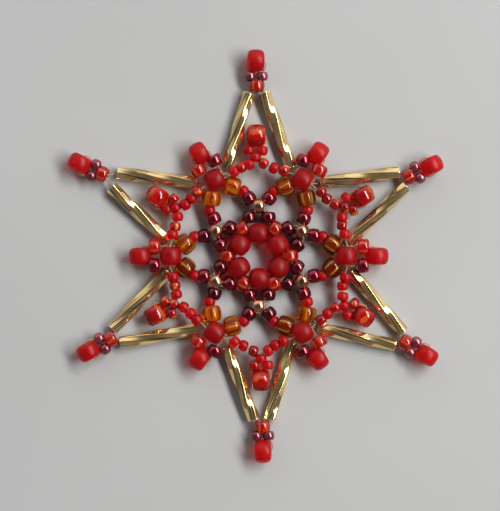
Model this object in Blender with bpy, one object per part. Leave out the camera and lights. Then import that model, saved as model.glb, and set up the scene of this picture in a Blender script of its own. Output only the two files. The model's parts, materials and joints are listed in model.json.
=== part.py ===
"""Six-pointed star ornament, netted from glass beads on a fine thread.

The star lies face up on a table: Z is up and the table is at z = 0. The first point lies along +Y.
Points are numbered anticlockwise, and the valley after each point has the point's number.

Every bead that two or more rounds of thread pass through is a solid of its own with a hole, and so are
the ring beads and the long twisted bugle beads. A bead that is strung once is one solid with the thread
that carries it, so each round of the net, each tip, each picot and each fringe is one piece.
"""

import math
from collections import namedtuple

import bmesh
import bpy
from mathutils import Matrix, Vector

MM = 0.001
POINTS = 6
SECTOR = 2 * math.pi / POINTS
HALF_SECTOR = SECTOR / 2

# Bead sizes: across the hole, along the hole, and the hole itself
LARGE_DIAMETER = 3.9 * MM
LARGE_LENGTH = 2.8 * MM
LARGE_HOLE = 1.56 * MM
MEDIUM_DIAMETER = 2.8 * MM
MEDIUM_LENGTH = 1.9 * MM
MEDIUM_HOLE = 1.1 * MM
SMALL_DIAMETER = 2.0 * MM
SMALL_LENGTH = 1.35 * MM
AMBER_DIAMETER = 3.8 * MM
AMBER_LENGTH = 2.8 * MM
BUGLE_DIAMETER = 2.4 * MM
BUGLE_LENGTH = 14.5 * MM
BUGLE_HOLE = 1.0 * MM
BUGLE_TWIST = math.radians(80)
BUGLE_STEPS = 5
THREAD_DIAMETER = 0.26 * MM

# Gaps and thread slack between neighbouring beads
FIT = 0.12 * MM
RING_SLACK = 0.6 * MM
INNER_PAIR_GAP = 0.7 * MM
OUTER_PAIR_GAP = 0.84 * MM
PETAL_NEST = 0.2 * MM
GOLD_NEST = 0.36 * MM
VALLEY_NEST = 0.78 * MM
PICOT_NEST = 0.4 * MM
AMBER_PAIR_GAP = 0.5 * MM
PICOT_PAIR_GAP = 0.8 * MM
PICOT_SLACK = 0.1 * MM
CHAIN_STEP_GAP = 0.2 * MM
CHAIN_PAIR_GAP = 0.52 * MM
CHAIN_SAG = 4.2 * MM
FORK_PAIR_GAP = 0.38 * MM
FORK_STEP = 1.3 * MM
DROP_SLACK = 0.75 * MM
BUGLE_SIDE_GAP = 1.35 * MM
BUGLE_OUT_STEP = 0.75 * MM
BUGLE_PAIR_GAP = 0.4 * MM
STEM_GAP = 0.35 * MM
COLLAR_PAIR_GAP = 0.2 * MM
COLLAR_SLACK = 0.75 * MM
TIP_SLACK = 0.85 * MM

# Heights that the beads are lifted by, above the table or above the bead they lie on
NET_LIFT = 0.3 * MM
LINK_LIFT = 0.3 * MM
RING_LIFT = 0.35 * MM
GOLD_LIFT = 0.7 * MM
SPACER_LIFT = 0.2 * MM
VALLEY_LIFT = 1.36 * MM
BUGLE_LIFT = 0.05 * MM
COLLAR_LIFT = 0.8 * MM
CHAIN_LIFT = 1.7 * MM
CHAIN_MIDDLE_LIFT = 1.4 * MM
FORK_LIFT = 1.0 * MM
PICOT_LIFT = 1.3 * MM

# Directions of the slanting beads, from the axis of their own point or valley
LEAF_SLANT = math.radians(37)
SPACER_SLANT = math.radians(4)
AMBER_SLANT = math.radians(40)
CHAIN_SLANT = math.radians(27)

# Where the threads lie in a hole that they share, off its centre, and how far they run past its ends
SHARED_OFFSET = 0.25 * MM
WIDE_OFFSET = 0.43 * MM
TWIN_OFFSET = 0.2 * MM
THREAD_EXIT = 0.28 * MM
THREAD_BEND = 0.12 * MM
THREAD_HOLD = 0.35 * MM

# The thread holds each point a little out of true: its sideways lean, and its share of the tip's slack
LONGEST_REACH = 1.5 * MM
POINT_LEAN = [math.radians(angle) for angle in (1.5, 4.8, -1.4, 2.4, -1.0, -4.2)]
POINT_REACH = [share * LONGEST_REACH for share in (0.13, 1.0, 0.0, 0.13, 0.0, 0.0)]

# Facets around a bead, and the corner radius that gives a faceted bead its true width on average
TURNED_FACETS = 8
STRAND_FACETS = 6
STRAND_GROWTH = (1 + 1 / math.cos(math.pi / STRAND_FACETS)) / 2
STRAND_FLAT = STRAND_GROWTH * math.cos(math.pi / STRAND_FACETS)

Bead = namedtuple("Bead", "diameter length hole profile")
Seat = namedtuple("Seat", "centre hole")
Finish = namedtuple("Finish", "name colour roughness metallic")

# A strung bead's outline: place along its half length, and swelling from the thread to its full radius
FULL_OUTLINE = ((-1.0, 0.0), (-0.9, 0.62), (-0.45, 1.0), (0.45, 1.0), (0.9, 0.62), (1.0, 0.0))
SHORT_OUTLINE = ((-1.0, 0.0), (-0.58, 1.0), (0.58, 1.0), (1.0, 0.0))

LARGE = Bead(LARGE_DIAMETER, LARGE_LENGTH, LARGE_HOLE, FULL_OUTLINE)
MEDIUM = Bead(MEDIUM_DIAMETER, MEDIUM_LENGTH, MEDIUM_HOLE, SHORT_OUTLINE)
AMBER_BEAD = Bead(AMBER_DIAMETER, AMBER_LENGTH, MEDIUM_HOLE, SHORT_OUTLINE)
SMALL = Bead(SMALL_DIAMETER, SMALL_LENGTH, THREAD_DIAMETER, SHORT_OUTLINE)

MATTE_RED = Finish("matte_red_glass", (0.45, 0.012, 0.016), 0.45, 0.0)
CLEAR_RED = Finish("clear_red_glass", (0.36, 0.006, 0.004), 0.12, 0.0)
BURGUNDY = Finish("burgundy_glass", (0.055, 0.002, 0.007), 0.15, 0.0)
ROSE_GOLD = Finish("rose_gold_bead", (0.72, 0.44, 0.33), 0.25, 0.8)
AMBER = Finish("amber_glass", (0.45, 0.15, 0.01), 0.1, 0.0)
MAUVE = Finish("mauve_bead", (0.14, 0.035, 0.04), 0.3, 0.6)
GOLD_GLASS = Finish("gold_glass", (0.6, 0.46, 0.17), 0.2, 0.6)
NYLON = Finish("peach_thread", (0.75, 0.38, 0.21), 0.6, 0.0)


def polar(radius, height, angle=0.0):
    """A place at a radius from the star's middle, turned anticlockwise from +Y."""
    return Vector((-radius * math.sin(angle), radius * math.cos(angle), height))


def heading(angle):
    """The level direction at an angle anticlockwise from +X."""
    return Vector((math.cos(angle), math.sin(angle), 0.0))


def flipped(vector):
    """The mirror image across a point's or a valley's own axis."""
    return Vector((-vector.x, vector.y, vector.z))


def turn(angle):
    """A turn about the star's upright axis."""
    return Matrix.Rotation(angle, 4, "Z")


def at_point(number):
    """From a point's own frame, outward along +Y, to the star's frame."""
    return turn(number * SECTOR)


def at_valley(number):
    """From a valley's own frame, outward along +Y, to the star's frame."""
    return turn(number * SECTOR + HALF_SECTOR)


ACROSS = Vector((1.0, 0.0, 0.0))
OUTWARD = Vector((0.0, 1.0, 0.0))
UPWARD = Vector((0.0, 0.0, 1.0))

# Ring of large beads in the middle, with a link bead lying between each two of them
NET_HEIGHT = MEDIUM_DIAMETER / 2 + NET_LIFT
LARGE_REST = LARGE_DIAMETER / 2 * STRAND_FLAT
LINK_HEIGHT = NET_HEIGHT + LINK_LIFT
RING_HEIGHT = LARGE_DIAMETER / 2 + RING_LIFT
RING_RADIUS = (LARGE_DIAMETER + FIT) / (2 * math.sin(HALF_SECTOR))
LINK_CHORD = (LARGE_LENGTH + MEDIUM_LENGTH) / 2 + RING_SLACK
LINK_RADIUS = RING_RADIUS * math.cos(HALF_SECTOR) + math.sqrt(
    LINK_CHORD**2 - (RING_RADIUS * math.sin(HALF_SECTOR)) ** 2 - (RING_HEIGHT - LINK_HEIGHT) ** 2
)

# Second round: a pair of petal beads up to the gold bead of each point
PETAL = Vector((
    (MEDIUM_DIAMETER + INNER_PAIR_GAP) / 2,
    LINK_RADIUS * math.cos(HALF_SECTOR) + (MEDIUM_DIAMETER + MEDIUM_LENGTH) / 2 - PETAL_NEST,
    NET_HEIGHT,
))
GOLD = polar(PETAL.y + (MEDIUM_LENGTH + MEDIUM_DIAMETER) / 2 - GOLD_NEST, NET_HEIGHT + GOLD_LIFT)

# Third round, in a valley's frame: leaf bead, spacer bead and amber bead up to the valley bead
LEAF = turn(-HALF_SECTOR) @ Vector((
    -(MEDIUM_DIAMETER + OUTER_PAIR_GAP) / 2, GOLD.y + MEDIUM_DIAMETER / 2, NET_HEIGHT
))
LEAF_HOLE = turn(-HALF_SECTOR) @ Vector((-math.sin(LEAF_SLANT), math.cos(LEAF_SLANT), 0.0))
SPACER_STEP = (MEDIUM_LENGTH + SMALL_LENGTH) / 2
SPACER = Vector((
    LEAF.x - SPACER_STEP * math.sin(SPACER_SLANT),
    LEAF.y + SPACER_STEP * math.cos(SPACER_SLANT),
    NET_HEIGHT + SPACER_LIFT,
))
SPACER_HOLE = heading(math.pi / 2 + AMBER_SLANT / 2)
AMBER_ACROSS = (AMBER_DIAMETER + AMBER_PAIR_GAP) / 2
AMBER_STEP = (SMALL_LENGTH + AMBER_LENGTH) / 2 + FIT
AMBER_SEAT = Vector((
    AMBER_ACROSS,
    SPACER.y + math.sqrt(AMBER_STEP**2 - (SPACER.x - AMBER_ACROSS) ** 2),
    AMBER_DIAMETER / 2 * STRAND_FLAT,
))
AMBER_HOLE = heading(math.pi / 2 + AMBER_SLANT)
VALLEY = polar(
    AMBER_SEAT.y + (AMBER_LENGTH + LARGE_DIAMETER) / 2 - VALLEY_NEST, AMBER_SEAT.z + VALLEY_LIFT
)

# Picot at each valley: a large bead held out between two medium ones
PICOT_SIDE = Vector((
    (MEDIUM_DIAMETER + PICOT_PAIR_GAP) / 2,
    VALLEY.y + (LARGE_DIAMETER + MEDIUM_LENGTH) / 2 + PICOT_SLACK,
    MEDIUM_DIAMETER / 2 + PICOT_LIFT,
))
PICOT_TIP = polar(PICOT_SIDE.y + (MEDIUM_LENGTH + LARGE_DIAMETER) / 2 - PICOT_NEST, LARGE_REST)

# Fringe in each point: a chain of small beads with a fork and a drop bead at its middle
CHAIN_MIDDLE = polar(
    VALLEY.y * math.cos(HALF_SECTOR) + CHAIN_SAG, SMALL_DIAMETER / 2 + CHAIN_MIDDLE_LIFT
)
CHAIN_HEIGHT = SMALL_DIAMETER / 2 + CHAIN_LIFT
CHAIN_START = Vector((
    (SMALL_DIAMETER + CHAIN_PAIR_GAP) / 2,
    CHAIN_MIDDLE.y - SMALL_LENGTH / 2 - CHAIN_PAIR_GAP,
    CHAIN_HEIGHT,
))
CHAIN_HOLE = heading(-CHAIN_SLANT)
CHAIN = [CHAIN_START + CHAIN_HOLE * (place * (SMALL_LENGTH + CHAIN_STEP_GAP)) for place in range(3)]
FORK = Vector((
    (SMALL_DIAMETER + FORK_PAIR_GAP) / 2, CHAIN_MIDDLE.y + FORK_STEP, SMALL_DIAMETER / 2 + FORK_LIFT
))
DROP = polar(FORK.y + LARGE_DIAMETER / 2 + DROP_SLACK, LARGE_REST)

# Tip of each point: two bugle beads meet at a stem bead, with a loop of collar beads and a tip bead
VALLEY_AT_POINT = turn(-HALF_SECTOR) @ VALLEY
VALLEY_HOLE = heading(math.pi - HALF_SECTOR)
BUGLE_START = (
    VALLEY_AT_POINT
    + VALLEY_HOLE * (LARGE_LENGTH / 2 + BUGLE_SIDE_GAP)
    + (turn(-HALF_SECTOR) @ OUTWARD) * BUGLE_OUT_STEP
)
BUGLE_START.z = BUGLE_DIAMETER / 2 + BUGLE_LIFT
BUGLE_END_ACROSS = (BUGLE_DIAMETER + BUGLE_PAIR_GAP) / 2
BUGLE_END = Vector((
    BUGLE_END_ACROSS,
    BUGLE_START.y + math.sqrt(BUGLE_LENGTH**2 - (BUGLE_START.x - BUGLE_END_ACROSS) ** 2),
    BUGLE_START.z,
))
STEM = polar(BUGLE_END.y + MEDIUM_LENGTH / 2 + STEM_GAP, MEDIUM_DIAMETER / 2 + NET_LIFT)
COLLAR = Vector((
    (SMALL_DIAMETER + COLLAR_PAIR_GAP) / 2,
    STEM.y + MEDIUM_LENGTH / 2 + COLLAR_SLACK,
    SMALL_DIAMETER / 2 + COLLAR_LIFT,
))
TIP = polar(COLLAR.y + LARGE_DIAMETER / 2 + TIP_SLACK, LARGE_REST)


def material(finish):
    """The finish as a material, made once."""
    found = bpy.data.materials.get(finish.name)
    if found:
        return found
    made = bpy.data.materials.new(finish.name)
    made.use_nodes = True
    shader = made.node_tree.nodes["Principled BSDF"]
    shader.inputs["Base Color"].default_value = (*finish.colour, 1.0)
    shader.inputs["Roughness"].default_value = finish.roughness
    shader.inputs["Metallic"].default_value = finish.metallic
    made.diffuse_color = (*finish.colour, 1.0)
    return made


def linked(name, data):
    """An object of the scene that shows a mesh or a curve."""
    made = bpy.data.objects.new(name, data)
    bpy.context.collection.objects.link(made)
    return made


def baked(thing):
    """The object's finished mesh, with its modifiers applied. The object goes."""
    bpy.context.view_layer.update()
    seen = thing.evaluated_get(bpy.context.evaluated_depsgraph_get())
    mesh = bpy.data.meshes.new_from_object(seen)
    bpy.data.objects.remove(thing)
    return mesh


def combined(body_mesh, tool_mesh, operation):
    """The Boolean of two meshes as a new mesh."""
    body = linked("body", body_mesh)
    tool = linked("tool", tool_mesh)
    joining = body.modifiers.new("combine", "BOOLEAN")
    joining.operation = operation
    joining.solver = "EXACT"
    joining.object = tool
    mesh = baked(body)
    bpy.data.objects.remove(tool)
    return mesh


def swept(stations, facets, closed, tilts=None):
    """A mesh swept along stations of (place, radius). Six facets leave a flat one facing down."""
    curve = bpy.data.curves.new("sweep", "CURVE")
    curve.dimensions = "3D"
    curve.twist_mode = "Z_UP"
    curve.bevel_depth = 1.0
    curve.bevel_resolution = facets // 2 - 2
    curve.use_fill_caps = not closed
    path = curve.splines.new("POLY")
    path.points.add(len(stations) - 1)
    path.use_cyclic_u = closed
    for number, (place, radius) in enumerate(stations):
        path.points[number].co = (*place, 1.0)
        path.points[number].radius = radius
        path.points[number].tilt = tilts[number] if tilts else 0.0
    return baked(linked("sweep", curve))


class Strand:
    """A thread and the beads that it carries, as stations along its path."""

    def __init__(self):
        self.stations = []
        self.beads = []
        self.extra = []

    def add(self, place, radius):
        """One more station, unless it is bare thread and the path is already bare thread there."""
        station = (place, radius * STRAND_GROWTH)
        if self.stations:
            last_place, last_radius = self.stations[-1]
            if last_radius == station[1] and (last_place - place).length < THREAD_DIAMETER:
                return
        self.stations.append(station)

    def thread(self, *places):
        """The bare thread runs through the places."""
        for place in places:
            self.add(place, THREAD_DIAMETER / 2)

    def bead(self, bead, finish, seat):
        """The thread swells into a bead at a seat, whose hole points the way the thread runs."""
        for along, swelling in bead.profile:
            radius = (THREAD_DIAMETER + swelling * (bead.diameter - THREAD_DIAMETER)) / 2
            self.add(seat.centre + seat.hole * (along * bead.length / 2), radius)
        self.beads.append((bead, finish, seat))

    def joint_bead(self, bead, finish, seat):
        """A bead that the thread passes through twice, joined on to both passes."""
        lone = Strand()
        lone.bead(bead, finish, seat)
        self.extra.append(lone)
        self.beads.append((bead, finish, seat))

    def moved(self, matrix, origin):
        """The same strand in another frame, about a new origin."""
        other = Strand()
        other.stations = [(matrix @ place - origin, radius) for place, radius in self.stations]
        straight = matrix.to_3x3()
        other.beads = [
            (bead, finish, Seat(matrix @ seat.centre - origin, straight @ seat.hole))
            for bead, finish, seat in self.beads
        ]
        other.extra = [lone.moved(matrix, origin) for lone in self.extra]
        return other

    def mesh(self, closed=False):
        """The strand as one closed mesh, each bead in its own finish."""
        shape = swept(self.stations, STRAND_FACETS, closed)
        for lone in self.extra:
            shape = combined(shape, swept(lone.stations, STRAND_FACETS, False), "UNION")
        finishes = [NYLON]
        for bead, finish, seat in self.beads:
            if finish not in finishes:
                finishes.append(finish)
        shape.materials.clear()
        for finish in finishes:
            shape.materials.append(material(finish))
        for face in shape.polygons:
            face.material_index = finishes.index(self.finish_at(face.center))
        return shape

    def finish_at(self, place):
        """The finish of the bead that a place on the surface belongs to, or the thread's."""
        for bead, finish, seat in self.beads:
            away = place - seat.centre
            along = away.dot(seat.hole)
            across = (away - seat.hole * along).length
            if abs(along) <= bead.length / 2 and across <= bead.diameter * 0.6:
                return finish
        return NYLON


def turned_mesh(name, bead, finish):
    """A round bead with its hole along X, turned from one closed outline."""
    half = bead.length / 2
    rim = bead.diameter / 2
    hole = bead.hole / 2 / math.cos(math.pi / TURNED_FACETS)
    wall = rim - hole
    outline = ((-0.75, 0.0), (-1.0, 0.4), (-0.62, 1.0), (0.62, 1.0), (1.0, 0.4), (0.75, 0.0))
    made = bmesh.new()
    ring = [made.verts.new((along * half, 0.0, hole + out * wall)) for along, out in outline]
    edges = [made.edges.new((start, end)) for start, end in zip(ring, ring[1:] + ring[:1])]
    half_facet = Matrix.Rotation(math.pi / TURNED_FACETS, 3, "X")
    bmesh.ops.rotate(made, verts=ring, cent=(0, 0, 0), matrix=half_facet)
    bmesh.ops.spin(
        made, geom=ring + edges, cent=(0, 0, 0), axis=(1, 0, 0), angle=2 * math.pi,
        steps=TURNED_FACETS, use_merge=True,
    )
    bmesh.ops.recalc_face_normals(made, faces=made.faces)
    mesh = bpy.data.meshes.new(name)
    made.to_mesh(mesh)
    made.free()
    mesh.materials.append(material(finish))
    return mesh


def bugle_mesh(name, finish):
    """A long six-sided bead, twisted along its length, with a round hole along X."""
    half = BUGLE_LENGTH / 2
    shares = [step / BUGLE_STEPS for step in range(BUGLE_STEPS + 1)]
    stations = [(ACROSS * (share * BUGLE_LENGTH - half), BUGLE_DIAMETER / 2) for share in shares]
    body = swept(stations, 6, False, [share * BUGLE_TWIST for share in shares])
    drill = [(ACROSS * -BUGLE_LENGTH, BUGLE_HOLE / 2), (ACROSS * BUGLE_LENGTH, BUGLE_HOLE / 2)]
    mesh = combined(body, swept(drill, 6, False), "DIFFERENCE")
    mesh.name = name
    mesh.materials.clear()
    mesh.materials.append(material(finish))
    return mesh


def placed(name, mesh, matrix, smooth=True):
    """A named piece of the star at its place."""
    piece = linked(name, mesh)
    piece.parent = ROOT
    piece.matrix_local = matrix
    for face in mesh.polygons:
        face.use_smooth = smooth
    return piece


def along_hole(centre, hole):
    """The place of a bead whose hole lies along its own X."""
    level = math.atan2(hole.y, hole.x)
    return Matrix.Translation(centre) @ turn(level)


def through(matrix, centre, bead, offset, past=THREAD_EXIT):
    """The two ends of a thread's way through a bead, from its +X side to its -X side."""
    reach = ACROSS * (bead.length / 2 + past)
    return matrix @ (centre + reach + offset), matrix @ (centre - reach + offset)


def round_the_end(centre):
    """The bare thread's way to the right end of a large bead's hole: along its end face, then out."""
    end = centre + ACROSS * (LARGE_LENGTH / 2 + THREAD_EXIT)
    return end - OUTWARD * (LARGE_DIAMETER / 3), end


def point_lean(number):
    """The lean of one point's bugle beads and tip, about their foot."""
    foot = Vector((0.0, BUGLE_START.y, 0.0))
    return Matrix.Translation(foot) @ turn(POINT_LEAN[number]) @ Matrix.Translation(-foot)


def first_round():
    """Bare thread through the ring beads and the link beads between them."""
    ring = polar(RING_RADIUS, RING_HEIGHT)
    link = polar(LINK_RADIUS, LINK_HEIGHT)
    bend = Vector((MEDIUM_LENGTH / 2 + THREAD_EXIT, LINK_RADIUS - MEDIUM_DIAMETER * 0.3, RING_HEIGHT))
    strand = Strand()
    for number in range(POINTS):
        valley = at_valley(number)
        strand.thread(*through(at_point(number), ring, LARGE, Vector(), THREAD_BEND))
        strand.thread(valley @ bend)
        strand.thread(*through(valley, link, MEDIUM, OUTWARD * -SHARED_OFFSET, THREAD_BEND))
        strand.thread(valley @ flipped(bend))
    return strand


def second_round():
    """Thread through gold beads and link beads, with the petal beads between them."""
    strand = Strand()
    for number in range(POINTS):
        here = at_point(number)
        following = at_point(number + 1)
        strand.thread(*through(here, GOLD, MEDIUM, OUTWARD * -SHARED_OFFSET))
        strand.bead(MEDIUM, BURGUNDY, Seat(here @ flipped(PETAL), here @ -OUTWARD))
        link = polar(LINK_RADIUS, LINK_HEIGHT)
        strand.thread(*through(at_valley(number), link, MEDIUM, OUTWARD * SHARED_OFFSET))
        strand.bead(MEDIUM, BURGUNDY, Seat(following @ PETAL, following @ OUTWARD))
    return strand


def third_round():
    """Thread through gold beads and valley beads, with leaf, spacer and amber beads between them."""
    side = (
        (MEDIUM, BURGUNDY, LEAF, LEAF_HOLE),
        (SMALL, MATTE_RED, SPACER, SPACER_HOLE),
        (AMBER_BEAD, AMBER, AMBER_SEAT, AMBER_HOLE),
    )
    beside_valley = Vector((
        LARGE_LENGTH / 2 + THREAD_EXIT, VALLEY.y - LARGE_DIAMETER / 4, (AMBER_SEAT.z + VALLEY.z) / 2
    ))
    strand = Strand()
    for number in range(POINTS):
        valley = at_valley(number)
        strand.thread(*through(at_point(number), GOLD, MEDIUM, OUTWARD * SHARED_OFFSET))
        for bead, finish, centre, hole in side:
            strand.bead(bead, finish, Seat(valley @ centre, valley @ hole))
        held = through(valley, VALLEY, LARGE, OUTWARD * -WIDE_OFFSET)
        strand.thread(valley @ beside_valley, *held, valley @ flipped(beside_valley))
        for bead, finish, centre, hole in reversed(side):
            strand.bead(bead, finish, Seat(valley @ flipped(centre), valley @ -flipped(hole)))
    return strand


def tip_strand(number):
    """One point's tip: thread out through a bugle bead, round the tip bead and back through the other."""
    lean = point_lean(number)
    pull = lean @ Matrix.Translation(OUTWARD * POINT_REACH[number])
    straight = lean.to_3x3()
    level = (BUGLE_END - BUGLE_START).normalized()
    low_side = (turn(-HALF_SECTOR) @ OUTWARD) * 0.5 - UPWARD * 0.87
    mouth = VALLEY_AT_POINT + low_side * WIDE_OFFSET
    held = mouth + VALLEY_HOLE * (LARGE_LENGTH / 2 - THREAD_HOLD)
    leaving = mouth + VALLEY_HOLE * (LARGE_LENGTH / 2 + THREAD_EXIT / 2)
    inner = BUGLE_START - level * THREAD_BEND
    outer = BUGLE_END + level * THREAD_BEND
    twin = ACROSS * TWIN_OFFSET
    stem_reach = OUTWARD * (MEDIUM_LENGTH / 2)
    strand = Strand()
    strand.thread(held, leaving, lean @ inner, lean @ outer)
    strand.thread(pull @ (STEM + twin - stem_reach), pull @ (STEM + twin + stem_reach))
    strand.bead(SMALL, MAUVE, Seat(pull @ COLLAR, straight @ OUTWARD))
    edge, end = round_the_end(TIP)
    strand.thread(pull @ edge, pull @ end)
    strand.bead(LARGE, MATTE_RED, Seat(pull @ TIP, straight @ -ACROSS))
    strand.thread(pull @ flipped(end), pull @ flipped(edge))
    strand.bead(SMALL, MAUVE, Seat(pull @ flipped(COLLAR), straight @ -OUTWARD))
    strand.thread(pull @ (STEM - twin + stem_reach), pull @ (STEM - twin - stem_reach))
    strand.thread(lean @ flipped(outer), lean @ flipped(inner), flipped(leaving), flipped(held))
    strand.joint_bead(MEDIUM, CLEAR_RED, Seat(pull @ STEM, straight @ OUTWARD))
    return strand


def picot_strand():
    """The loop at a valley, in the valley's frame: through the valley bead and round the picot bead."""
    strand = Strand()
    strand.thread(*through(Matrix(), VALLEY, LARGE, Vector()))
    strand.bead(MEDIUM, BURGUNDY, Seat(flipped(PICOT_SIDE), OUTWARD))
    strand.bead(LARGE, MATTE_RED, Seat(PICOT_TIP, ACROSS))
    strand.bead(MEDIUM, CLEAR_RED, Seat(PICOT_SIDE, -OUTWARD))
    return strand


def fringe_mouth():
    """Where a fringe's thread leaves the valley bead on the right of its point."""
    return VALLEY_AT_POINT + VALLEY_HOLE * (LARGE_LENGTH / 2) + UPWARD * WIDE_OFFSET


def fringe_strand():
    """The chain in a point, in the point's frame, from one valley bead to the next."""
    mouth = fringe_mouth()
    held = mouth - VALLEY_HOLE * THREAD_HOLD
    twin = ACROSS * (TWIN_OFFSET * 0.8)
    middle_reach = OUTWARD * (SMALL_LENGTH / 2)
    strand = Strand()
    leaving = mouth + VALLEY_HOLE * (2 * THREAD_EXIT)
    strand.thread(held, leaving)
    for centre in reversed(CHAIN):
        strand.bead(SMALL, MATTE_RED, Seat(centre, -CHAIN_HOLE))
    strand.thread(CHAIN_MIDDLE + twin - middle_reach, CHAIN_MIDDLE + twin + middle_reach)
    strand.bead(SMALL, CLEAR_RED, Seat(FORK, OUTWARD))
    edge, end = round_the_end(DROP)
    strand.thread(edge, end)
    strand.bead(LARGE, CLEAR_RED, Seat(DROP, -ACROSS))
    strand.thread(flipped(end), flipped(edge))
    strand.bead(SMALL, MATTE_RED, Seat(flipped(FORK), -OUTWARD))
    strand.thread(CHAIN_MIDDLE - twin + middle_reach, CHAIN_MIDDLE - twin - middle_reach)
    for centre in CHAIN:
        strand.bead(SMALL, MATTE_RED, Seat(flipped(centre), flipped(CHAIN_HOLE)))
    strand.thread(flipped(leaving), flipped(held))
    strand.joint_bead(SMALL, MATTE_RED, Seat(CHAIN_MIDDLE, OUTWARD))
    return strand


def build_net():
    """The flat middle of the star: its single beads and the three rounds that hold them."""
    large = turned_mesh("large_bead", LARGE, MATTE_RED)
    link = turned_mesh("link_bead", MEDIUM, CLEAR_RED)
    gold = turned_mesh("gold_bead", MEDIUM, ROSE_GOLD)
    for number in range(POINTS):
        label = number + 1
        here = at_point(number)
        valley = at_valley(number)
        ring_place = Matrix.Translation(polar(RING_RADIUS, RING_HEIGHT))
        placed(f"ring_bead_{label}", large, here @ ring_place)
        placed(f"link_bead_{label}", link, valley @ Matrix.Translation(polar(LINK_RADIUS, LINK_HEIGHT)))
        placed(f"gold_bead_{label}", gold, here @ Matrix.Translation(GOLD))
        placed(f"valley_bead_{label}", large, valley @ Matrix.Translation(VALLEY))
    placed("round_1_thread", first_round().mesh(closed=True), Matrix())
    placed("round_2_strand", second_round().mesh(closed=True), Matrix())
    placed("round_3_strand", third_round().mesh(closed=True), Matrix())


def build_points():
    """The six points: bugle beads that turn on the thread of the tip strand."""
    bugle = bugle_mesh("bugle", GOLD_GLASS)
    middle = (BUGLE_START + BUGLE_END) / 2
    level = BUGLE_END - BUGLE_START
    for number in range(POINTS):
        here = at_point(number)
        lean = point_lean(number)
        placed(f"tip_strand_{number + 1}", tip_strand(number).mesh(), here)
        right = here @ lean @ along_hole(middle, level)
        left = here @ lean @ along_hole(flipped(middle), flipped(level))
        placed(f"bugle_{2 * number + 1}", bugle, right, smooth=False)
        placed(f"bugle_{2 * number + 2}", bugle, left, smooth=False)


def build_picots_and_fringes():
    """The loops that swing: picots on the valley beads, and fringes hung between two of them."""
    picot = picot_strand().moved(Matrix(), VALLEY).mesh(closed=True)
    mouth = fringe_mouth()
    hinge = Vector((0.0, mouth.y, mouth.z))
    fringe = fringe_strand().moved(Matrix(), hinge).mesh()
    for number in range(POINTS):
        placed(f"picot_{number + 1}", picot, at_valley(number) @ Matrix.Translation(VALLEY))
        placed(f"fringe_{number + 1}", fringe, at_point(number) @ Matrix.Translation(hinge))


def settle():
    """Shift the star so that the middle of its underside is at the origin."""
    bpy.context.view_layer.update()
    corners = [
        piece.matrix_world @ Vector(corner)
        for piece in ROOT.children
        for corner in (vertex.co for vertex in piece.data.vertices)
    ]
    low = Vector(min(corner[axis] for corner in corners) for axis in range(3))
    high = Vector(max(corner[axis] for corner in corners) for axis in range(3))
    ROOT.location = Vector((-(low.x + high.x) / 2, -(low.y + high.y) / 2, -low.z))


for old in list(bpy.data.objects):
    bpy.data.objects.remove(old)
ROOT = linked("star", None)
build_net()
build_points()
build_picots_and_fringes()
settle()
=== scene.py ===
"""Looks of the beaded star: round glass beads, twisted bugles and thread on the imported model.

Every piece rides on the body of the nodes that it replaces. A point's own frame has +Y outward
along that point, and a valley's own frame has +Y outward along the valley that follows it, 30
degrees further round. Sizes of beads and thread are in millimetres, the studio's in metres.
"""

from __future__ import annotations

import json
import logging
import math
import random
from collections.abc import Iterable, Mapping, Sequence
from dataclasses import dataclass, replace
from enum import Enum
from functools import cache

import bmesh
import bpy
from mathutils import Matrix, Vector

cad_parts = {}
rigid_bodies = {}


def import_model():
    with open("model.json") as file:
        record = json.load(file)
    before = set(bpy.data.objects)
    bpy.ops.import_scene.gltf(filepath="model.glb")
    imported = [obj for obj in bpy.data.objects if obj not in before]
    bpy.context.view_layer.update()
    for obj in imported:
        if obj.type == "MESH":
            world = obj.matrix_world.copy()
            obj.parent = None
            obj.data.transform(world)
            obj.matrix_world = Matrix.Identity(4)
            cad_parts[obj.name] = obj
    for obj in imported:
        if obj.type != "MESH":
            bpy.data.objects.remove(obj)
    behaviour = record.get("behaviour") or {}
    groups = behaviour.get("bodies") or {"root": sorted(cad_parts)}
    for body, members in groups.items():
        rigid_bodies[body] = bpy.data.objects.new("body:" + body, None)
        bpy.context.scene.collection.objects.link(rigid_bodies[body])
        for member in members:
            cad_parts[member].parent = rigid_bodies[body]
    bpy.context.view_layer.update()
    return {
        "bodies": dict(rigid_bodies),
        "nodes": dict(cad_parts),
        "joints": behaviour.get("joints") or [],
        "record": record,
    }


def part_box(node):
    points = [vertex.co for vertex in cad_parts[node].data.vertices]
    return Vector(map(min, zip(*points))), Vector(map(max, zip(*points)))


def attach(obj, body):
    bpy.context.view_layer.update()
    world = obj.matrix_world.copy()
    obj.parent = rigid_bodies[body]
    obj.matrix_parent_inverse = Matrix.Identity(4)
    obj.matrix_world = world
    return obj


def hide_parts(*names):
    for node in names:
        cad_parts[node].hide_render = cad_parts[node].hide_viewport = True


LOG = logging.getLogger("star")
MM = 0.001
POINTS = 6
BUGLE_SIDES = 6
FULL_TURN = 2 * math.pi
SECTOR = FULL_TURN / POINTS
ACROSS = Vector((1.0, 0.0, 0.0))
OUTWARD = Vector((0.0, 1.0, 0.0))
UPWARD = Vector((0.0, 0.0, 1.0))
NET = "net"

# The Mix node's sockets for colours, by number because its other kinds use the same names
MIX_SHARE, MIX_FIRST, MIX_SECOND, MIX_RESULT = 0, 6, 7, 2
NOISE_MIDDLE = 0.5

Colour = tuple[float, float, float]
Span = tuple[float, float]
Part = bmesh.types.BMVert | bmesh.types.BMEdge | bmesh.types.BMFace
EdgeLoop = list[bmesh.types.BMEdge]
Sockets = dict[str, object]


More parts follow.
